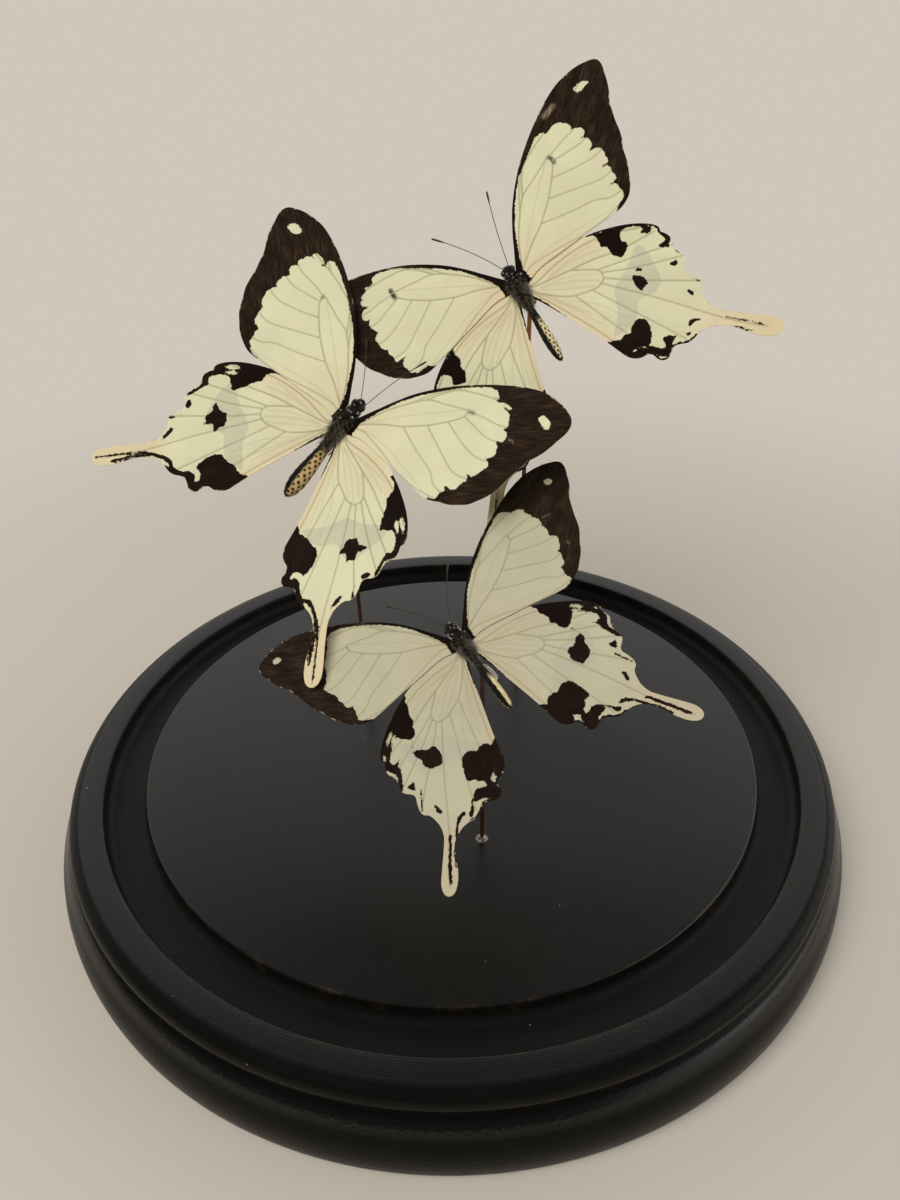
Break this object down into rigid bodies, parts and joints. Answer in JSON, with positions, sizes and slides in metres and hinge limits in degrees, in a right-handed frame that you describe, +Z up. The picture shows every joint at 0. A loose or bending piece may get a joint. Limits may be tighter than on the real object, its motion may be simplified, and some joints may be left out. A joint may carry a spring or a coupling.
{
  "type": "mounted butterfly display base",
  "caption": "Pinned swallowtail butterflies with spread wings on thin upright rods, standing on a round turned black base with a ring groove for a glass dome.",
  "frame": {"origin": "centre of the base's flat underside", "axes": "+Z up the axis that the base is turned about, +X to the right and -Y towards the viewer, to whom the butterflies turn their backs"},
  "size_m": [0.2288, 0.2288, 0.1994],
  "materials": {
    "black_wood": "satin black lacquer on turned wood",
    "rod": "dark red-brown stained, low sheen",
    "clear_glue": "clear dried glue with a whitish edge",
    "insect_body": "dry, matt and furry",
    "wing": "dry matt wing scales, cream with black-brown markings",
    "antenna": "dry dark horn, low sheen"
  },
  "bodies": {
    "root": {"low_body": "insect_body", "low_forewing_left": "wing", "low_forewing_right": "wing", "low_hindwing_left": "wing", "low_hindwing_right": "wing", "low_antenna_left": "antenna", "low_antenna_right": "antenna", "low_rod": "rod", "low_glue": "clear_glue", "middle_body": "insect_body", "middle_forewing_left": "wing", "middle_forewing_right": "wing", "middle_hindwing_left": "wing", "middle_hindwing_right": "wing", "middle_antenna_left": "antenna", "middle_antenna_right": "antenna", "middle_rod": "rod", "middle_glue": "clear_glue", "high_body": "insect_body", "high_forewing_left": "wing", "high_forewing_right": "wing", "high_hindwing_left": "wing", "high_hindwing_right": "wing", "high_antenna_left": "antenna", "high_antenna_right": "antenna", "high_rod": "rod", "high_glue": "clear_glue", "turned_base": "black_wood"}
  },
  "joints": []
}
